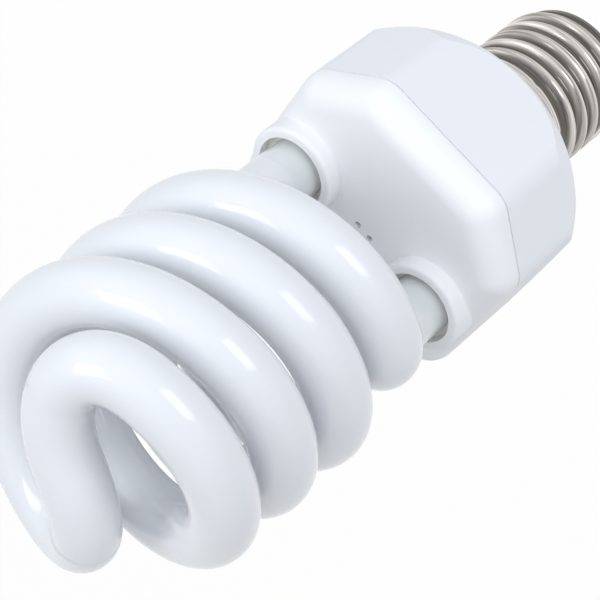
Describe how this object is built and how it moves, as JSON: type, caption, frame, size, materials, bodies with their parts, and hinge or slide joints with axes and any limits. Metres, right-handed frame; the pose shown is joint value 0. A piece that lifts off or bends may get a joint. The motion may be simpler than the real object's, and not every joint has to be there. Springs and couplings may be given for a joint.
{
  "type": "compact fluorescent bulb",
  "caption": "Compact fluorescent bulb with a double spiral tube, an eight-sided two-part ballast housing and a screw cap.",
  "frame": {"origin": "centre of the end contact's outer face, on the lamp's axis", "axes": "+Z along the lamp's axis from the contact to the tip of the spiral tube; +X lies 6.5 degrees from the normal of one wide flat of the housing, towards the leg that starts the front turn"},
  "size_m": [0.0536, 0.0536, 0.1455],
  "materials": {
    "phosphor_glass": "white phosphor coat behind clear glass",
    "white_plastic": "moulded, slightly glossy",
    "nickel_shell": "bright nickel plate",
    "black_glass": "smooth vitrified glass",
    "contact_metal": "stamped",
    "solder": "bright solder",
    "board": "paper laminate",
    "capacitor_sleeve": "shrunk sleeve",
    "ferrite": "pressed ferrite",
    "bobbin_plastic": "moulded",
    "copper_winding": "enamelled copper",
    "black_resin": "moulded",
    "film_resin": "dipped",
    "resistor_body": "lacquered",
    "diode_glass": "small glass body",
    "tinned_wire": "tinned",
    "lead_sleeve": "sleeved wire",
    "cement": "cured cement"
  },
  "bodies": {
    "root": {"spiral_tube": "phosphor_glass", "tube_holder": "white_plastic", "ballast_cover": "white_plastic", "cap_shell": "nickel_shell", "cap_insulator": "black_glass", "centre_contact": "contact_metal", "contact_solder": "solder", "circuit_board": "board", "solder_joints": "solder", "main_capacitor": "capacitor_sleeve", "choke_core": "ferrite", "choke_bobbin": "bobbin_plastic", "choke_winding": "copper_winding", "toroid_core": "ferrite", "toroid_windings": "copper_winding", "transistors": "black_resin", "rectifier_diodes": "black_resin", "film_capacitors": "film_resin", "resistors": "resistor_body", "trigger_diode": "diode_glass", "wire_posts": "tinned_wire", "filament_leads": "tinned_wire", "tube_cement": "cement", "fusible_resistor": "resistor_body", "contact_lead": "lead_sleeve", "shell_lead": "tinned_wire"}
  },
  "joints": []
}
